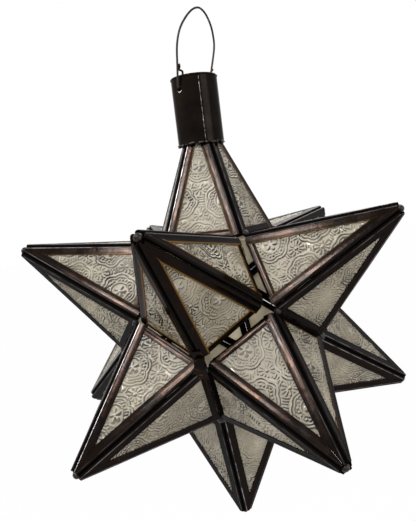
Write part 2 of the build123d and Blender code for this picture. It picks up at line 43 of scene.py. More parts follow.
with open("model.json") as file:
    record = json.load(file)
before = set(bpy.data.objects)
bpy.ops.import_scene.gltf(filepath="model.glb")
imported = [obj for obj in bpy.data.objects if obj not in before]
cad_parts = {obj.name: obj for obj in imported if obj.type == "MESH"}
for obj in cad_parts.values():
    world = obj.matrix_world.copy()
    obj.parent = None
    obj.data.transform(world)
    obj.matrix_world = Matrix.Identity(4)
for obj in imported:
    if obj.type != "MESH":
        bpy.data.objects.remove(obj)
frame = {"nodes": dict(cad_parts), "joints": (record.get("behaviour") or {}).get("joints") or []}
cad_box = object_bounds()
MM = 0.001

# ---------------------------------------------------------------- the star's geometry, as in the solids
PANE_EDGE = 55.9 * MM
PANE_SLANT = 109.2 * MM
CROWN_W = 3.42 * MM
DOOR_EDGE = 53.2 * MM
DOOR_SHIFT = 0.7 * MM
DOOR_SAG = 1.2 * MM
DOOR_AJAR = math.radians(7.5)
RIDGE_STRIP_W = 6.5 * MM
BASE_STRIP_W = 5.5 * MM
STRIP_T = 3.2 * MM
RIDGE_INSET = 1.489 * MM
VALLEY_REACH = 0.548 * MM
GLASS_T = 2.0 * MM
GLASS_BITE = 3.6 * MM
GLASS_END_W = 2.8 * MM
GLASS_INSET = RIDGE_INSET + RIDGE_STRIP_W - GLASS_BITE
COLLAR_BOTTOM = 128.4 * MM
COLLAR_TOP = 176.3 * MM
COLLAR_R = 16.7 * MM
PANES_INTO_COLLAR = 5.0 * MM
BAIL_HINGE_Z = 168.0 * MM

joints = {joint["name"]: joint for joint in frame["joints"]}
bail_hinge = Vector(joints["bail_hinge"]["pos_m"])
centre = bail_hinge - Vector((0, 0, BAIL_HINGE_Z))
core_in = PANE_EDGE * math.sqrt(250 + 110 * math.sqrt(5)) / 20
core_out = PANE_EDGE * math.sqrt(3) * (1 + math.sqrt(5)) / 4
base_in = PANE_EDGE / (2 * math.tan(math.radians(36)))
door_in = DOOR_EDGE / (2 * math.tan(math.radians(36)))
point_h = math.sqrt(PANE_SLANT**2 - base_in**2)
door_slant = math.hypot(point_h, door_in)


def along(azimuth, latitude):
    a, b = math.radians(azimuth), math.radians(latitude)
    return Vector((math.cos(a) * math.cos(b), math.sin(a) * math.cos(b), math.sin(b)))


RING_LATITUDE = math.degrees(math.atan(0.5))
UPPER = ["door", "upper_right", "upper_back_right", "upper_back_left", "upper_left"]
LOWER = ["lower_front_right", "lower_right", "lower_back", "lower_left", "lower_front_left"]
points = {"top": Vector((0, 0, 1)), "bottom": Vector((0, 0, -1))}
for i in range(5):
    points[UPPER[i]] = along(-90 + 72 * i, RING_LATITUDE)
    points[LOWER[i]] = along(-54 + 72 * i, -RING_LATITUDE)


def neighbours(name):
    here = points[name]
    return [other for other in points if other != name and here.dot(points[other]) > 0.4]


def corner_of(*names):
    total = Vector((0, 0, 0))
    for name in names:
        total += points[name]
    return total.normalized()


def frame_matrix(origin, x_axis, y_axis, z_axis):
    """Matrix from local coordinates to the row frame."""
    return Matrix.Translation(origin) @ Matrix((x_axis, y_axis, z_axis)).transposed().to_4x4()


def pane_matrix(name, other, inside=base_in, shift=Vector((0, 0, 0))):
    """Pane coordinates: X along the base, Y up the pane, Z out of its face."""
    out = points[name]
    towards = (points[other] - out * points[other].dot(out)).normalized()
    slant = math.hypot(point_h, inside)
    normal = (towards * point_h + out * inside) / slant
    up = (out * point_h - towards * inside) / slant
    foot = centre + out * core_in + towards * inside + shift
    return frame_matrix(foot, up.cross(normal), up, normal)


# the door's swing about its hinge, from shut to as shown
corner_e = corner_of("top", "door", "upper_left") * core_out
corner_d = corner_of("door", "upper_left", "lower_front_left") * core_out
hinge_up = (corner_e - corner_d).normalized()
hinge_out = (corner_e + corner_d).normalized()
hinge_side = (hinge_out - points["door"] * hinge_out.dot(points["door"])).normalized()
door_offset = hinge_side * DOOR_SHIFT - hinge_up * DOOR_SAG
pivot = Vector(joints["door_hinge"]["pos_m"])
swing = (
    Matrix.Translation(pivot)
    @ Matrix.Rotation(DOOR_AJAR, 4, -hinge_up)
    @ Matrix.Translation(-pivot)
)


def pane_matrices(name):
    if name != "door":
        return [pane_matrix(name, other) for other in neighbours(name)]
    return [swing @ pane_matrix(name, other, door_in, door_offset) for other in neighbours(name)]


def height_at(edge, slant, inset, width):
    """How far up a pane its sides, drawn in by inset, are width apart."""
    return slant * (1 - (width + 2 * inset / math.cos(math.atan(edge / 2 / slant))) / edge)


def pane_size(name):
    """Base edge and slant height of a point's panes, and how high its channels and its glass go."""
    channel_y = height_at(PANE_EDGE, PANE_SLANT, RIDGE_INSET, CROWN_W)
    if name == "door":
        glass_y = height_at(DOOR_EDGE, door_slant, GLASS_INSET, GLASS_END_W)
        return DOOR_EDGE, door_slant, channel_y + door_slant - PANE_SLANT, glass_y
    if name == "top":
        top = (COLLAR_BOTTOM + PANES_INTO_COLLAR - core_in) * PANE_SLANT / point_h
        return PANE_EDGE, PANE_SLANT, top, top
    glass_y = height_at(PANE_EDGE, PANE_SLANT, GLASS_INSET, GLASS_END_W)
    return PANE_EDGE, PANE_SLANT, channel_y, glass_y


def body_name(name):
    return "door" if name == "door" else "lantern"


# ---------------------------------------------------------------- node helpers
def new_material(name):
    material = bpy.data.materials.new(name)
    material.use_nodes = True
    tree = material.node_tree
    return material, tree, tree.nodes["Principled BSDF"]


def node(tree, kind, inputs=None, **settings):
    made = tree.nodes.new(kind)
    for key, value in settings.items():
        setattr(made, key, value)
    for key, value in (inputs or {}).items():
        socket = made.inputs[key]
        if isinstance(value, bpy.types.NodeSocket):
            tree.links.new(value, socket)
        else:
            socket.default_value = value
    return made


def noise(tree, scale, detail=4.0, rough=0.6, coords=None, distortion=0.0):
    coords = coords or node(tree, "ShaderNodeTexCoord").outputs["Object"]
    made = node(
        tree,
        "ShaderNodeTexNoise",
        {"Vector": coords, "Scale": scale, "Detail": detail, "Roughness": rough,
         "Distortion": distortion},
    )
    return made.outputs["Fac"]


def ramp(tree, fac, stops, colour=False):
    """Value or colour by steps: stops are (place, value) or (place, (r, g, b))."""
    made = node(tree, "ShaderNodeValToRGB", {"Fac": fac})
    elements = made.color_ramp.elements
    while len(elements) < len(stops):
        elements.new(0.5)
    for element, (place, value) in zip(elements, stops):
        element.position = place
        element.color = (*value, 1) if colour else (value, value, value, 1)
    return made.outputs["Color"]


def mix(tree, fac, a, b, kind="MIX"):
    made = node(tree, "ShaderNodeMix", data_type="RGBA", blend_type=kind)
    for socket, value in ((made.inputs[0], fac), (made.inputs[6], a), (made.inputs[7], b)):
        if isinstance(value, bpy.types.NodeSocket):
            tree.links.new(value, socket)
        elif isinstance(value, (int, float)):
            socket.default_value = value
        else:
            socket.default_value = (*value, 1)
    return made.outputs[2]


def bump(tree, height, strength, distance, normal=None):
    inputs = {"Height": height, "Strength": strength, "Distance": distance}
    if normal is not None:
        inputs["Normal"] = normal
    return node(tree, "ShaderNodeBump", inputs).outputs["Normal"]


def attribute(tree, name):
    return node(tree, "ShaderNodeAttribute", attribute_name=name).outputs["Fac"]


def maths(tree, operation, a, b):
    return node(tree, "ShaderNodeMath", {0: a, 1: b}, operation=operation).outputs[0]


def seen_directly(tree):
    """1 for a ray from the camera, off a gloss or through glass, and 0 for the light itself."""
    light_path = node(tree, "ShaderNodeLightPath").outputs
    seen = maths(tree, "MAXIMUM", light_path["Is Camera Ray"], light_path["Is Glossy Ray"])
    return maths(tree, "MAXIMUM", seen, light_path["Is Transmission Ray"])


# ---------------------------------------------------------------- materials
BLACK_TIN = (0.0045, 0.0035, 0.0030)
BROWN_TIN = (0.0095, 0.0052, 0.0034)
COLLAR_BROWN = (0.012, 0.0075, 0.0045)
# painted shade, for the groove between two channels
GROOVE_SHADE = (0.0015, 0.0012, 0.001)  # between two channels
RUST = (0.036, 0.013, 0.0045)
HINGE_RUST = (0.16, 0.06, 0.015)
AMBER = (0.24, 0.125, 0.03)
# worn bright tin and a painted highlight, along the channels' crests
WORN_AND_HIGHLIGHT = (0.60, 0.57, 0.58)
STRAW, DEEP_STRAW = (0.74, 0.68, 0.55), (0.34, 0.295, 0.215)
GLASS_SPREAD = 0.45  # share of the light behind that the glass spreads out


def tin_material(name, base, brown, rust, rust_from=0.60, rough=(0.10, 0.24), worn_and_highlight=None, amber=None):
    """Oxidised tin: near-black, with brown and rust patches; for channels, worn bright with a painted
    highlight along the crests, and painted shade in the grooves.
    """
    material, tree, shader = new_material(name)
    patches = noise(tree, 55, 6, 0.62)
    fine = noise(tree, 420, 5, 0.6)
    spots = noise(tree, 160, 7, 0.7, distortion=0.6)
    colour = mix(tree, ramp(tree, patches, [(0.38, 0.0), (0.66, 1.0)]), base, brown)
    rusty = ramp(tree, spots, [(rust_from, 0.0), (rust_from + 0.12, 0.75)])
    colour = mix(tree, rusty, colour, rust)
    if amber:
        lip = ramp(tree, attribute(tree, "lip"), [(0.3, 0.0), (0.9, 0.9)])
        colour = mix(tree, lip, colour, amber)
    if worn_and_highlight:
        # wear and a painted highlight: the crests and the face's edge paler, broken up by noise
        broken = ramp(tree, noise(tree, 90, 4, 0.6), [(0.40, 0.10), (0.60, 1.0)])
        crest = ramp(tree, attribute(tree, "crest"), [(0.30, 0.0), (0.85, 1.0)])
        by = maths(tree, "MULTIPLY", broken, crest)
        colour = mix(tree, by, colour, worn_and_highlight)
    rough_by = ramp(tree, noise(tree, 120, 5, 0.6), [(0.3, rough[0]), (0.72, rough[1])])
    if worn_and_highlight:
        # painted shade deep in the groove between two channels, on a rougher surface
        deep = attribute(tree, "deep")
        colour = mix(tree, deep, colour, GROOVE_SHADE)
        rough_by = mix(tree, deep, rough_by, (0.85, 0.85, 0.85))
    tree.links.new(colour, shader.inputs["Base Color"])
    tree.links.new(rough_by, shader.inputs["Roughness"])
    shader.inputs["Metallic"].default_value = 0.75
    shader.inputs["Specular IOR Level"].default_value = 0.25
    shader.inputs["Specular Tint"].default_value = (0.45, 0.42, 0.42, 1)
    normal = bump(tree, patches, 0.3, 0.0005)
    normal = bump(tree, fine, 0.15, 0.0002, normal)
    tree.links.new(normal, shader.inputs["Normal"])
    return material


def metal_material(name, colour, dark, rough, metallic=1.0, scale=180.0, bump_depth=0.0001):
    material, tree, shader = new_material(name)
    mottled = noise(tree, scale, 5, 0.6)
    shade = mix(tree, ramp(tree, mottled, [(0.35, 0.0), (0.7, 1.0)]), colour, dark)
    tree.links.new(shade, shader.inputs["Base Color"])
    shader.inputs["Metallic"].default_value = metallic
    by = ramp(tree, noise(tree, scale * 2.2, 4, 0.6), [(0.3, rough[0]), (0.7, rough[1])])
    tree.links.new(by, shader.inputs["Roughness"])
    tree.links.new(bump(tree, mottled, 0.3, bump_depth), shader.inputs["Normal"])
    return material


def glass_material():
    """Embossed antique glass: pale straw, with a painted highlight on the crests of its relief and
    painted shade on its flanks, most on the flanks that face down.
    """
    material, tree, shader = new_material("embossed_glass")
    relief = attribute(tree, "relief")
    painted_relief_shade = attribute(tree, "painted_relief_shade")
    cloud = noise(tree, 38, 4, 0.55)
    body = mix(tree, ramp(tree, cloud, [(0.35, 0.0), (0.68, 1.0)]), STRAW, DEEP_STRAW)
    # painted highlight: the relief's crests are paler
    body = mix(tree, ramp(tree, relief, [(0.42, 0.0), (0.80, 0.9)]), body, (0.93, 0.90, 0.82))
    # painted shade on the relief's flanks, heavier in some places and broken up in others by noise
    shade_breakup = ramp(tree, noise(tree, 45, 4, 0.6), [(0.34, 0.30), (0.60, 1.0)])
    shade_strength = node(
        tree, "ShaderNodeMapRange", {0: noise(tree, 32, 3, 0.55), 1: 0.38, 2: 0.66, 3: 0.75, 4: 2.6}
    )
    heavy_shade = maths(tree, "MULTIPLY", painted_relief_shade, shade_strength.outputs[0])
    dark = ramp(tree, heavy_shade, [(0.17, 0.0), (0.42, 1.0)])
    by = maths(tree, "MULTIPLY", shade_breakup, dark)
    body = mix(tree, by, body, (0.022, 0.019, 0.015))
    tree.links.new(body, shader.inputs["Base Color"])
    shader.inputs["IOR"].default_value = 1.5
    shader.inputs["Roughness"].default_value = 0.09
    shader.inputs["Transmission Weight"].default_value = 0.35
    ripple = noise(tree, 260, 3, 0.5)
    tree.links.new(bump(tree, ripple, 0.2, 0.0003), shader.inputs["Normal"])
    # some of the light behind comes through, spread out, darker under the painted shade
    lit = mix(tree, by, (0.98, 0.92, 0.78), (0.10, 0.085, 0.06))
    through = node(tree, "ShaderNodeBsdfTranslucent", {"Color": lit})
    blend = node(
        tree, "ShaderNodeMixShader", {0: GLASS_SPREAD, 1: shader.outputs[0], 2: through.outputs[0]}
    )
    tree.links.new(blend.outputs[0], tree.nodes["Material Output"].inputs["Surface"])
    return material


def clear_glass_material():
    material, tree, shader = new_material("clear_glass")
    tint = mix(tree, noise(tree, 60, 2, 0.5), (0.99, 0.99, 0.98), (0.95, 0.97, 0.96))
    tree.links.new(tint, shader.inputs["Base Color"])
    shader.inputs["IOR"].default_value = 1.45
    shader.inputs["Roughness"].default_value = 0.02
    shader.inputs["Transmission Weight"].default_value = 1.0
    return material


def plastic_material():
    material, tree, shader = new_material("holder_plastic")
    grain = noise(tree, 900, 3, 0.5)
    colour = mix(tree, noise(tree, 90, 4, 0.6), (0.018, 0.018, 0.018), (0.035, 0.034, 0.033))
    tree.links.new(colour, shader.inputs["Base Color"])
    tree.links.new(ramp(tree, grain, [(0.3, 0.35), (0.7, 0.5)]), shader.inputs["Roughness"])
    tree.links.new(bump(tree, grain, 0.2, 0.0001), shader.inputs["Normal"])
    return material


channel_tin = tin_material("channel_tin", BLACK_TIN, BROWN_TIN, RUST, worn_and_highlight=WORN_AND_HIGHLIGHT, amber=AMBER)
collar_tin = tin_material("collar_tin", BLACK_TIN, COLLAR_BROWN, RUST, 0.62)
hinge_tin = tin_material("hinge_tin", BLACK_TIN, BROWN_TIN, HINGE_RUST, 0.54)
# each metal: name, colour, darker colour, roughness from and to, metallic, grain scale, grain depth
solder = metal_material(
    "solder", (0.11, 0.10, 0.09), (0.010, 0.008, 0.007), (0.2, 0.45), 0.8, 300, 0.0004
)
dark_solder = metal_material(
    "dark_solder", (0.030, 0.026, 0.023), (0.006, 0.005, 0.0045), (0.25, 0.5), 0.7, 260, 0.0006
)
bright_solder = metal_material(
    "bright_solder", (0.42, 0.40, 0.38), (0.03, 0.022, 0.018), (0.18, 0.4), 0.9, 420, 0.0002
)
wire_iron = metal_material(
    "wire_iron", (0.016, 0.012, 0.010), (0.007, 0.005, 0.004), (0.3, 0.5), 0.5, 300, 0.00003
)
plain_steel = metal_material("plain_steel", (0.42, 0.41, 0.40), (0.25, 0.23, 0.21), (0.28, 0.45))
zinc = metal_material("zinc", (0.62, 0.62, 0.60), (0.42, 0.41, 0.38), (0.22, 0.38))
brass = metal_material("brass", (0.78, 0.55, 0.20), (0.52, 0.34, 0.12), (0.18, 0.36))
nickel = metal_material("nickel", (0.70, 0.68, 0.64), (0.50, 0.48, 0.45), (0.15, 0.3))
black_glass = metal_material("black_glass", (0.015, 0.015, 0.02), (0.03, 0.03, 0.035), (0.08, 0.16), 0.0)
tungsten = metal_material("tungsten", (0.25, 0.25, 0.26), (0.12, 0.12, 0.13), (0.3, 0.5))
pane_glass = glass_material()
lamp_glass = clear_glass_material()
holder_plastic = plastic_material()

CAD_FINISH = {
    "corner_solder": dark_solder,
    "opening_solder": dark_solder,
    "tip_solder": dark_solder,
    "door_tip_solder": dark_solder,
    "collar_solder": solder,
    "collar": collar_tin,
    "hinge_knuckles": hinge_tin,
    "door_knuckles": hinge_tin,
    "door_latch_tab": hinge_tin,
    "hinge_pin": wire_iron,
    "bail_wire": wire_iron,
    "collar_disc": plain_steel,
    "nipple_washer": plain_steel,
    "cord_nipple": zinc,
    "nipple_nuts": zinc,
    "lampholder_cap": holder_plastic,
    "lampholder_body": holder_plastic,
    "screw_shell": brass,
    "centre_contact": brass,
    "terminal_screws": brass,
    "lamp_glass": lamp_glass,
    "lamp_stem": lamp_glass,
    "lamp_cap": nickel,
    "lamp_insulator": black_glass,
    "lamp_contact": solder,
    "lamp_filament": tungsten,
}
for name, material in CAD_FINISH.items():
    piece = frame["nodes"][name]
    piece.data.materials.clear()
    piece.data.materials.append(material)


# ---------------------------------------------------------------- mesh helpers
def mesh_object(name, verts, faces, material, body, smooth=True, values=None):
    """An object from arrays, with float attributes per vertex, riding a body."""
    mesh = bpy.data.meshes.new(name)
    mesh.from_pydata([tuple(v) for v in verts], [], faces)
    mesh.update()
    if smooth:
        mesh.polygons.foreach_set("use_smooth", [True] * len(mesh.polygons))
    for key, data in (values or {}).items():
        layer = mesh.attributes.new(key, "FLOAT", "POINT")
        layer.data.foreach_set("value", np.asarray(data, np.float32))
    mesh.materials.append(material)
    made = bpy.data.objects.new(name, mesh)
    bpy.context.scene.collection.objects.link(made)
    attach(made, body)
    return made


def place(matrix, coords):
    """Local coordinates to the row frame."""
    m = np.array(matrix)
    return coords @ m[:3, :3].T + m[:3, 3]


# ---------------------------------------------------------------- embossed glass
CELL_W, CELL_H = 31.0, 27.0  # spacing of the medallions, in millimetres
RELIEF = 0.60  # height of the relief, in millimetres
GRID = 0.50  # spacing of the relief's points, in millimetres


def line_at(distance, width):
    """A raised line where distance is 0."""
    return np.exp(-((distance / width) ** 2))


def beads(x, y, pitch, radius):
    """Round beads on a staggered grid."""
    row = np.round(y / (pitch * 0.866))
    shifted = x - (row % 2) * pitch / 2
    dx = shifted - np.round(shifted / pitch) * pitch
    dy = y - row * pitch * 0.866
    return np.clip(1 - (dx**2 + dy**2) / radius**2, 0, 1) ** 0.5


def medallion(x, y):
    """A scalloped double border, a bed of beads inside it, and a ringed flower in the middle."""
    r, a = np.hypot(x, y), np.arctan2(y, x)
    rim = 12.4 * (0.90 + 0.10 * np.abs(np.cos(3.5 * a)))
    h = 0.95 * line_at(r - rim, 0.55)
    h = np.maximum(h, 0.80 * line_at(r - rim + 2.0, 0.48))
    bed = (r < rim - 2.9) & (r > 6.9)
    h = np.maximum(h, np.where(bed, 0.85 * beads(x, y, 2.25, 0.9), 0))
    h = np.maximum(h, 0.85 * line_at(r - 6.1, 0.45))
    petal = 5.2 * (0.30 + 0.70 * np.abs(np.cos(2.5 * a)) ** 0.6)
    flower = np.clip(1 - (r / petal) ** 3, 0, 1) * (0.35 + 0.65 * np.abs(np.cos(2.5 * a)))
    h = np.maximum(h, np.where(r < petal, flower, 0))
    return np.maximum(h, np.clip(1 - (r / 1.4) ** 2, 0, 1) ** 0.5)


def fan(x, y):
    """A shell: ribs that spread from a point, with arcs across their ends."""
    r, a = np.hypot(x, y), np.arctan2(y, x)
    h = 0.70 * (0.5 + 0.5 * np.cos(11 * a)) * (r < 5.4) * (r > 1.6)
    h = np.maximum(h, 0.90 * line_at(r - 6.3, 0.45))
    h = np.maximum(h, 0.70 * line_at(r - 8.0, 0.42))
    return np.maximum(h, np.clip(1 - (r / 1.3) ** 2, 0, 1) ** 0.5)


def leaf(x, y, length, width):
    """A pointed leaf along X with a vein."""
    t = np.clip(x / length, 0, 1)
    half = width * np.sin(math.pi * t) ** 0.8 + 1e-6
    inside = (x > 0) & (x < length) & (np.abs(y) < half)
    blade = 0.85 * (1 - (np.abs(y) / half) ** 2) * (1 - 0.5 * line_at(y, 0.25))
    return np.where(inside, blade, 0)


def relief_at(x, y):
    """Height of the pattern, 0 to 1, at points of the glass sheet in millimetres."""
    x, y = x + 0.7 * np.sin(y / 6.1) + 0.3 * np.sin(y / 2.3), y + 0.7 * np.sin(x / 7.3)
    row = np.round(y / CELL_H)
    sx = x - (row % 2) * CELL_W / 2
    cx, cy = sx - np.round(sx / CELL_W) * CELL_W, y - row * CELL_H
    h = medallion(cx, cy)
    far = np.hypot(cx, cy) > 13.6
    # shells and sprays fill the spaces between the medallions
    fx = np.where(cx > 0, cx - CELL_W / 2, cx + CELL_W / 2)
    fy = cy - np.where(cy > 0, 1, -1) * CELL_H * 0.36
    shell = np.hypot(fx, fy)
    h = np.maximum(h, np.where(far & (shell < 9.2), fan(fx, fy), 0))
    spray = np.zeros_like(h)
    for turn in (0.35, 1.0, 1.65, 2.3):
        c, s = math.cos(turn), math.sin(turn)
        along_x, along_y = np.abs(fx), cy
        spray = np.maximum(spray, leaf(c * along_x + s * along_y, -s * along_x + c * along_y, 6.0, 1.3))
    h = np.maximum(h, np.where(far & (shell > 9.2), spray, 0))
    # a fine pebbled ground, deeper in some places than in others
    ground = 0.5 + 0.25 * np.sin(x * 2.6 + 1.7 * np.sin(y * 1.9))
    ground = ground + 0.25 * np.sin(y * 2.9 + 1.3 * np.sin(x * 2.3))
    depth = 0.15 + 0.11 * np.sin(x / 8.3 + 1.1) * np.sin(y / 6.7)
    return np.maximum(h, depth * ground)


def glass_pane(edge, slant, top_y, inset, turn, shift, down):
    """One embossed pane in pane coordinates: vertices, faces, relief and painted shade of each vertex.
    The painted shade lies on the flanks that face down, a direction in the pane."""
    side = inset / math.cos(math.atan(edge / 2 / slant))
    low = BASE_STRIP_W - GLASS_BITE - VALLEY_REACH
    grid = GRID * MM
    xs = np.arange(-edge / 2, edge / 2 + grid, grid)
    ys = np.arange(low, top_y, grid)
    gx, gy = np.meshgrid(xs, ys)
    inside = np.abs(gx) <= edge / 2 * (1 - gy / slant) - side
    cells = inside[:-1, :-1] & inside[1:, :-1] & inside[:-1, 1:] & inside[1:, 1:]
    index = -np.ones(gx.shape, int)
    used = np.zeros(gx.shape, bool)
    for dy in (0, 1):
        for dx in (0, 1):
            used[dy : dy + cells.shape[0], dx : dx + cells.shape[1]] |= cells
    index[used] = np.arange(used.sum())
    x, y = gx[used], gy[used]
    c, s = math.cos(turn), math.sin(turn)
    mx, my = x / MM, y / MM
    h = relief_at(c * mx - s * my + shift[0], s * mx + c * my + shift[1])
    field = np.zeros(gx.shape)
    field[used] = h
    slope_y, slope_x = np.gradient(field, GRID)
    # painted shade: a little on every steep flank, most on the flanks that face down
    facing = -(slope_x * down.x + slope_y * down.y)
    painted_relief_shade = np.clip(0.30 * np.hypot(slope_x, slope_y) + 1.0 * facing, 0, 1)[used]
    # the relief fades out where the glass sits in its channels
    edge_far = edge / 2 * (1 - y / slant) - side - np.abs(x)
    edge_far = np.minimum(edge_far, y - low) / GLASS_BITE
    fade = np.clip(edge_far - 0.55, 0, 0.35) / 0.35
    face_z = -(STRIP_T - GLASS_T) / 2
    front = np.column_stack([x, y, face_z - 0.0001 + fade * (h - 0.35) * RELIEF * MM])
    rows, cols = np.nonzero(cells)
    a, b = index[rows, cols], index[rows, cols + 1]
    d, e = index[rows + 1, cols], index[rows + 1, cols + 1]
    faces = np.column_stack([a, b, e, d])
    # walls along the edge of the grid, and a fan behind
    sides = np.concatenate([faces[:, [0, 1]], faces[:, [1, 2]], faces[:, [2, 3]], faces[:, [3, 0]]])
    pairs = {}
    for i, j in sides:
        if (j, i) in pairs:
            del pairs[(j, i)]
        else:
            pairs[(i, j)] = True
    rim = sorted({i for pair in pairs for i in pair})
    behind = {v: len(front) + k for k, v in enumerate(rim)}
    back = front[rim].copy()
    back[:, 2] = face_z - GLASS_T
    middle = np.array([[0.0, (low + top_y) * 0.36, face_z - GLASS_T]])
    hub = len(front) + len(rim)
    verts = np.vstack([front, back, middle])
    out = [tuple(map(int, f)) for f in faces]
    for i, j in pairs:
        out.append((int(j), int(i), behind[i], behind[j]))
        out.append((behind[j], behind[i], hub))
    rest = np.zeros(len(rim) + 1)
    return verts, out, np.concatenate([h * fade, rest]), np.concatenate([painted_relief_shade * fade, rest])


def glass_point(name, order):
    """The five panes of a point, each with its own cut of the pattern."""
    edge, slant, _, top_y = pane_size(name)
    verts, faces, relief, painted_relief_shade = [], [], [], []
    count = 0
    for k, matrix in enumerate(pane_matrices(name)):
        turn = 0.7 * order + 1.9 * k
        shift = (7.3 * order + 4.1 * k, 5.9 * order - 9.7 * k)
        # a fixed direction, mostly down, turned into the pane: the flanks facing it get the most painted
        # shade
        down = matrix.to_3x3().transposed() @ Vector((0.35, 0.15, -0.92))
        v, f, h, g = glass_pane(edge, slant, top_y, GLASS_INSET, turn, shift, down)
        verts.append(place(matrix, v))
        faces += [tuple(i + count for i in face) for face in f]
        relief.append(h)
        painted_relief_shade.append(g)
        count += len(v)
    values = {"relief": np.concatenate(relief), "painted_relief_shade": np.concatenate(painted_relief_shade)}
    made = mesh_object(
        f"{name}_embossed_glass", np.vstack(verts), faces, pane_glass, body_name(name), values=values
    )
    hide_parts(f"{name}_point_glass")


# ---------------------------------------------------------------- folded tin channels
FOLD_ANGLE = math.radians(42)  # a sharper bend than this shows as an edge
STRIP_WAVER = (0.10 * MM, 0.16 * MM)  # wobble of a ridge channel, in from its back and out of the pane
BASE_WAVER = 0.22 * MM
BASE_SINK = 0.12 * MM  # how far a valley's channel lies under the pane's face
RIDGE_START = (1.2 * MM, 1.9 * MM)  # from a pane's base to the lower end of its ridge channels
RIDGE_SHORT = 1.8 * MM  # how much shorter than the pane the upper ends may be
BASE_SHORT = 2.4 * MM  # how much shorter a valley's channel is at each end


def channel_section(width):
    """Section of a folded channel: how far in from its back, how far out of the pane's face, and how
    near its rounded edge, with marks for the painted highlight with wear, the lip, and the painted
    shade."""
    r = STRIP_T / 2
    wall = 0.55 * MM
    face = [(width - 0.25 * MM, 0.0), (width * 0.72, -0.08 * MM), (width * 0.48, -0.10 * MM)]
    face += [(2.3 * MM, -0.03 * MM)]
    arc = [math.radians(a) for a in range(90, 271, 18)]
    outer = [(r + r * math.cos(a), -r + r * math.sin(a)) for a in arc]
    back = [(width * 0.5, -STRIP_T), (width, -STRIP_T + 0.08 * MM), (width, -STRIP_T + wall)]
    slot = [(1.4 * MM, -STRIP_T + wall + 0.05 * MM), (1.2 * MM, -r), (1.4 * MM, -wall - 0.05 * MM)]
    lip = [(width, -wall), (width, -0.22 * MM)]
    ring = face + outer + back + slot + lip
    marks = []
    for k, (u, z) in enumerate(ring):
        turn = k - len(face)
        # crest: painted highlight with wear on the first turn of the rounded back, weaker at the face's
        # edge
        crest = 1.0 if turn == 1 else 0.35 if k == 0 else 0.0
        lip = 1.0 if u > width - 0.3 * MM and z > -STRIP_T / 2 else 0.0
        # deep: painted shade down the rounded back, in the groove between two channels
        deep = 0.55 if turn == 3 else 1.0 if 3 < turn < 8 else 0.0
        marks.append((crest, lip, deep))
    return [(u, z, mark) for (u, z), mark in zip(ring, marks)]


RIDGE_SECTION = channel_section(RIDGE_STRIP_W)
BASE_SECTION = channel_section(BASE_STRIP_W)


def strip(section, start, end, inward, limit, waver, segments=22):
    """A channel from start to end in pane coordinates. inward points from its back into the pane,
    limit(y) is how wide it may be there, and waver wobbles its back and face by hand's work."""
    verts, marks = [], []
    for k in range(segments + 1):
        t = k / segments
        spot = start.lerp(end, t)
        widest = limit(spot)
        wob_u, wob_z = waver(t)
        for u, z, mark in section:
            u = min(u, widest)
            verts.append((*(spot + inward * (u + wob_u)), z + wob_z))
            marks.append(mark)
    n = len(section)
    faces = []
    for k in range(segments):
        for i in range(n):
            a, b = k * n + i, k * n + (i + 1) % n
            faces.append((a, b, b + n, a + n))
    faces.append(tuple(range(n - 1, -1, -1)))
    faces.append(tuple(segments * n + i for i in range(n)))
    return verts, faces, marks


def waver_of(rng, size_u, size_z):
    """A slow wobble along a strip, the same for the same random numbers."""
    phase = rng.uniform(0, 6.28, 4)
    amount = rng.uniform(0.4, 1.0, 2)

    def at(t):
        u = math.sin(7 * t + phase[0]) + 0.5 * math.sin(17 * t + phase[1])
        z = math.sin(6 * t + phase[2]) + 0.5 * math.sin(15 * t + phase[3])
        return size_u * amount[0] * (1.5 - u) / 3, size_z * amount[1] * (z - 1.5) / 3

    return at


def pane_strips(name, rng):
    """The three channels of one pane, in pane coordinates."""
    edge, slant, top_y, _ = pane_size(name)
    half_apex = math.atan(edge / 2 / slant)
    side = RIDGE_INSET / math.cos(half_apex)
    parts = []
    for hand in (-1, 1):
        def back(y):
            return Vector((hand * (edge / 2 * (1 - y / slant) - side), y))

        inward = Vector((-hand * math.cos(half_apex), -math.sin(half_apex)))

        def limit(spot):
            return max(0.2 * MM, (abs(spot.x) - 0.05 * MM) / math.cos(half_apex))

        low = -VALLEY_REACH + rng.uniform(*RIDGE_START)
        high = top_y - (0 if name == "top" else rng.uniform(0, RIDGE_SHORT))
        waver = waver_of(rng, *STRIP_WAVER)
        parts.append(strip(RIDGE_SECTION, back(low), back(high), inward, limit, waver))
    reach = edge / 2 - side - BASE_SHORT
    start, end = Vector((-reach, -VALLEY_REACH)), Vector((reach, -VALLEY_REACH))
    base_waver = waver_of(rng, 0.0, BASE_WAVER)

    def sunk(t):
        return 0, base_waver(t)[1] - BASE_SINK

    parts.append(strip(BASE_SECTION, start, end, Vector((0, 1)), lambda spot: 1.0, sunk))
    return parts


def channel_point(name, order):
    """The fifteen channels of a point."""
    rng = np.random.default_rng(100 + order)
    verts, faces, marks = [], [], []
    count = 0
    for matrix in pane_matrices(name):
        rusty = 0.9 if name == "door" else rng.choice([0.0, 0.0, 0.0, 0.45])
        for v, f, m in pane_strips(name, rng):
            # how strong the painted highlight and wear on this channel's crests are
            bright = 0.25 if name == "door" else rng.uniform(0.3, 0.85)
            verts.append(place(matrix, np.array(v)))
            faces += [tuple(i + count for i in face) for face in f]
            marks += [(crest * bright, lip * rusty, deep) for crest, lip, deep in m]
            count += len(v)
    crest, lip, deep = zip(*marks)
    values = {"crest": crest, "lip": lip, "deep": deep}
    made = mesh_object(
        f"{name}_tin_channels", np.vstack(verts), faces, channel_tin, body_name(name), values=values
    )
    fix_normals(made)
    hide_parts(f"{name}_point_frames")


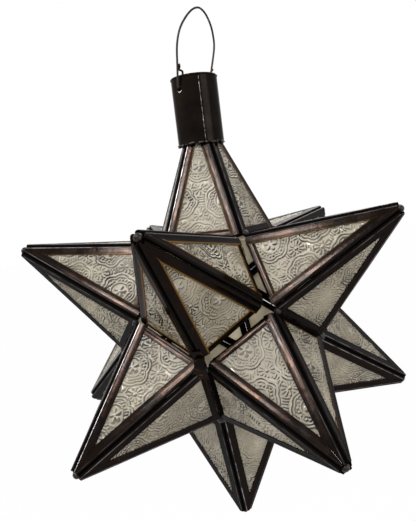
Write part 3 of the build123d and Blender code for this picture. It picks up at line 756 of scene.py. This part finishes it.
def fix_normals(made):
    """Normals out, and the channels' folds kept sharp."""
    work = bmesh.new()
    work.from_mesh(made.data)
    bmesh.ops.recalc_face_normals(work, faces=work.faces)
    work.to_mesh(made.data)
    work.free()
    sharp = made.modifiers.new("split", "EDGE_SPLIT")
    sharp.split_angle = FOLD_ANGLE


for order, name in enumerate(points):
    glass_point(name, order)
    channel_point(name, order)

# ---------------------------------------------------------------- wire and solder
def smooth_path(points, steps=8):
    """Points of a smooth curve through the given ones."""
    pts = [np.array(p, float) for p in points]
    pts = [2 * pts[0] - pts[1], *pts, 2 * pts[-1] - pts[-2]]
    out = []
    for a, b, c, d in zip(pts, pts[1:], pts[2:], pts[3:]):
        for k in range(steps):
            t = k / steps
            out.append(0.5 * (2 * b + (c - a) * t + (2 * a - 5 * b + 4 * c - d) * t**2
                              + (3 * b - a - 3 * c + d) * t**3))
    out.append(pts[-2])
    return out


def tube(path, radii, sides=10):
    """A round bar along a path, with a radius at each point: vertices and faces."""
    path = [Vector(p) for p in path]
    verts, faces = [], []
    side = None
    for k, spot in enumerate(path):
        run = (path[min(k + 1, len(path) - 1)] - path[max(k - 1, 0)]).normalized()
        if side is None:
            side = run.orthogonal().normalized()
        side = (side - run * side.dot(run)).normalized()
        other = run.cross(side)
        for i in range(sides):
            a = 2 * math.pi * i / sides
            verts.append(tuple(spot + (side * math.cos(a) + other * math.sin(a)) * radii[k]))
    for k in range(len(path) - 1):
        for i in range(sides):
            a, b = k * sides + i, k * sides + (i + 1) % sides
            faces.append((a, b, b + sides, a + sides))
    faces.append(tuple(range(sides - 1, -1, -1)))
    last = (len(path) - 1) * sides
    faces.append(tuple(last + i for i in range(sides)))
    return verts, faces


def joined(shapes):
    """Several vertex and face lists as one."""
    verts, faces = [], []
    for v, f in shapes:
        faces += [tuple(i + len(verts) for i in face) for face in f]
        verts += v
    return verts, faces


def lump(spot, size, rng, rings=6, sides=9):
    """An uneven drop of solder."""
    verts, faces = [], []
    wobble = rng.uniform(0.75, 1.15, (rings + 1, sides))
    for k in range(rings + 1):
        b = math.pi * (k / rings - 0.5) * 0.98
        for i in range(sides):
            a = 2 * math.pi * i / sides
            r = wobble[k, i] if 0 < k < rings else 1.0
            local = (math.cos(a) * math.cos(b) * r, math.sin(a) * math.cos(b) * r, math.sin(b))
            verts.append(tuple(spot[j] + size[j] * local[j] for j in range(3)))
    for k in range(rings):
        for i in range(sides):
            a, b = k * sides + i, k * sides + (i + 1) % sides
            faces.append((a, b, b + sides, a + sides))
    faces.append(tuple(range(sides - 1, -1, -1)))
    faces.append(tuple(rings * sides + i for i in range(sides)))
    return verts, faces


# across and above the hinge, in millimetres, as in the solids
WIRE_R = 0.75 * MM
BAIL_AZIMUTH = math.radians(-119)
BAIL_LEAN = math.radians(11.6)
LEG_OUT, TAIL_IN = 18.2, 13.6
LEFT_KNEE, RIGHT_KNEE = (-19.2, 14.0), (17.8, 14.0)
LOOP = [(-20.1, 27.0), (-18.2, 37.4), (-13.1, 45.9), (-5.7, 53.0), (1.6, 55.5)]
LOOP += [(8.7, 52.8), (14.7, 46.6), (18.3, 39.5), (20.1, 30.5)]
TAIL_RISE = 11.7  # where a tail crosses the collar's rim
TWIST_R = 1.45  # between the middles of a leg and the tail twisted against it
TWIST_HIGH, TWIST_DROP = 15.6, 3.6
TWIST_TURN, TWIST_END = 95, -10  # degrees round the leg, and where the turn ends
TWIST_STEPS = 8
OVER_RIM = ((15.4, TAIL_RISE), (14.0, 11.2), (TAIL_IN, 9.6), (TAIL_IN, 5.5), (TAIL_IN, 1.6))
THROUGH_HOLE = ((14.3, 0.2), (15.9, 0.0), (17.5, 0.2), (LEG_OUT, 1.6))


def bail_end(hand, knee):
    """Points from a tail's end, twisted against its leg, to the knee: across, above the hinge, off
    the plane."""
    out = []
    for k in range(TWIST_STEPS + 1):
        t = k / TWIST_STEPS
        a = math.radians(TWIST_TURN * (1 - t) + TWIST_END)
        high = TWIST_HIGH - TWIST_DROP * t
        leg = LEG_OUT + (abs(knee[0]) - LEG_OUT) * high / knee[1]
        out.append((hand * (leg - TWIST_R * math.cos(a)), high, TWIST_R * math.sin(a)))
    out += [(hand * u, w, 0) for u, w in OVER_RIM + THROUGH_HOLE]
    out.append((hand * (LEG_OUT + (abs(knee[0]) - LEG_OUT) * 0.55), 7.6, 0))
    return out


def bail():
    """The wire: one tail, its leg, the loop, the other leg and its tail."""
    across = Vector((-math.cos(BAIL_AZIMUTH), -math.sin(BAIL_AZIMUTH), 0))
    front = across.cross(Vector((0, 0, 1)))
    up = Vector((0, 0, math.cos(BAIL_LEAN))) + front * math.sin(BAIL_LEAN)
    off = across.cross(up)
    points = bail_end(-1, LEFT_KNEE) + [(*p, 0) for p in (LEFT_KNEE, *LOOP, RIGHT_KNEE)]
    points += bail_end(1, RIGHT_KNEE)[::-1]
    path = smooth_path([bail_hinge + (across * u + up * w + off * v) * MM for u, w, v in points], 6)
    made = mesh_object("bail_bent_wire", *tube(path, [WIRE_R] * len(path)), wire_iron, "hanger")
    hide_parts("bail_wire")


def on_collar(azimuth, height, out=0.0):
    """A place on the collar's outside, at an angle in degrees and a height over the star's centre."""
    a = math.radians(azimuth)
    r = COLLAR_R + out
    return centre + Vector((r * math.cos(a), r * math.sin(a), height))


SEAM_AZIMUTH = -67
SEAM_T = 0.5 * MM
EDGE_DROPS = 34


def collar_trim():
    """Solder on the seam and the lower edge, and the burrs of the two holes."""
    rng = np.random.default_rng(7)
    shapes = []
    # a broken bead of solder down the edge of the lapped seam
    height = COLLAR_BOTTOM + 2 * MM
    while height < COLLAR_TOP - 4 * MM:
        run = rng.uniform(3, 9) * MM
        top = min(height + run, COLLAR_TOP - 2.2 * MM)
        count = max(4, int((top - height) / (0.5 * MM)))
        path, radii = [], []
        for k in range(count + 1):
            t = k / count
            wobble = 0.5 * math.sin(31 * t + height * 900)
            up_to = height + (top - height) * t
            path.append(on_collar(SEAM_AZIMUTH - 0.4 + wobble, up_to, 0.30 * SEAM_T))
            radii.append((0.16 + 0.20 * rng.uniform() * math.sin(math.pi * t)) * MM)
        shapes.append(tube(path, radii, 8))
        height = top + rng.uniform(0.2, 1.4) * MM
    made = mesh_object("seam_solder_bead", *joined(shapes), bright_solder, "lantern")
    # drops of solder along the collar's lower edge
    shapes = []
    for k in range(EDGE_DROPS):
        azimuth = 360 * k / EDGE_DROPS + rng.uniform(-5, 5)
        spot = on_collar(azimuth, COLLAR_BOTTOM + rng.uniform(-0.2, 0.7) * MM, -0.35 * MM)
        shapes.append(lump(spot, rng.uniform((0.6, 0.6, 0.4), (1.5, 1.5, 0.9)) * MM, rng))
    made = mesh_object("collar_edge_drops", *joined(shapes), solder, "lantern")
    # the burr that the punch left round the lower side of each hole
    shapes = []
    for side in (math.degrees(BAIL_AZIMUTH), math.degrees(BAIL_AZIMUTH) + 180):
        path, radii = [], []
        for k in range(15):
            a = math.radians(200 + 140 * k / 14)
            turn = math.degrees(1.85 * MM * math.cos(a) / COLLAR_R)
            height = BAIL_HINGE_Z - 1.15 * MM + 2.1 * MM * math.sin(a)
            path.append(on_collar(side + turn, height, 0.05 * MM))
            radii.append((0.14 + 0.30 * math.sin(math.pi * k / 14)) * MM)
        shapes.append(tube(path, radii, 8))
    made = mesh_object("hole_burrs", *joined(shapes), bright_solder, "lantern")


bail()
collar_trim()

# ---------------------------------------------------------------- floor, light and camera
FLOOR_DROP = 0.75  # the floor's depth under the lowest tip
FLOOR_SIZE = 14.0
FLOOR_WHITE = 0.98  # how much of the floor's own shade is covered where it is seen
AMBIENT = 0.52


def stage_floor():
    mesh = bpy.data.meshes.new("floor")
    size, z = FLOOR_SIZE, cad_box[0][2] - FLOOR_DROP
    corners = [(-size, -size, z), (size, -size, z), (size, size, z), (-size, size, z)]
    mesh.from_pydata(corners, [], [(0, 1, 2, 3)])
    floor = bpy.data.objects.new("floor", mesh)
    bpy.context.scene.collection.objects.link(floor)
    material, tree, shader = new_material("floor")
    shader.inputs["Base Color"].default_value = (0.9, 0.9, 0.9, 1)
    shader.inputs["Roughness"].default_value = 0.9
    part = maths(tree, "MULTIPLY", seen_directly(tree), FLOOR_WHITE)
    white = node(tree, "ShaderNodeEmission", {"Color": (1, 1, 1, 1), "Strength": 1.0})
    blend = node(tree, "ShaderNodeMixShader", {0: part, 1: shader.outputs[0], 2: white.outputs[0]})
    tree.links.new(blend.outputs[0], tree.nodes["Material Output"].inputs["Surface"])
    mesh.materials.append(material)


def world_light():
    world = bpy.data.worlds.new("studio")
    bpy.context.scene.world = world
    world.use_nodes = True
    tree = world.node_tree
    tree.nodes.clear()
    dim = node(tree, "ShaderNodeBackground", {"Color": (1, 1, 1, 1), "Strength": AMBIENT})
    full = node(tree, "ShaderNodeBackground", {"Color": (1, 1, 1, 1), "Strength": 1.0})
    blend = node(
        tree, "ShaderNodeMixShader", {0: seen_directly(tree), 1: dim.outputs[0], 2: full.outputs[0]}
    )
    node(tree, "ShaderNodeOutputWorld", {"Surface": blend.outputs[0]})


def area_lamp(name, offset, size, power):
    data = bpy.data.lights.new(name, "AREA")
    data.shape = "RECTANGLE"
    data.size, data.size_y = size
    data.energy = power
    lamp = bpy.data.objects.new(name, data)
    bpy.context.scene.collection.objects.link(lamp)
    lamp.location = centre + Vector(offset)
    lamp.rotation_euler = (centre - lamp.location).to_track_quat("-Z", "Y").to_euler()


# the camera's place from the star's centre, and its own axes, as the photograph was taken
CAMERA_FROM_STAR = Vector((0.0820, -0.4241, 0.0840))
CAMERA_RIGHT = Vector((0.97441, 0.18996, -0.12014))
CAMERA_UP = Vector((0.09943, 0.11503, 0.98837))
CAMERA_LENS = 40.36


def stage_camera():
    data = bpy.data.cameras.new("camera")
    data.lens = CAMERA_LENS
    data.sensor_width = 36.0
    data.clip_start = 0.01
    camera = bpy.data.objects.new("camera", data)
    bpy.context.scene.collection.objects.link(camera)
    right = CAMERA_RIGHT.normalized()
    back = right.cross(CAMERA_UP).normalized()
    camera.matrix_world = frame_matrix(centre + CAMERA_FROM_STAR, right, back.cross(right), back)
    bpy.context.scene.camera = camera


stage_floor()
world_light()
area_lamp("key", (-1.25, -0.35, 1.1), (0.7, 0.7), 16)
area_lamp("window", (-0.180, -0.727, 0.716), (0.07, 0.17), 5)
area_lamp("fill", (1.2, -0.7, 0.2), (0.8, 0.8), 6)
area_lamp("rim", (0.3, 1.1, 0.9), (0.6, 0.9), 9)
stage_camera()
bpy.context.scene.view_settings.view_transform = "Standard"
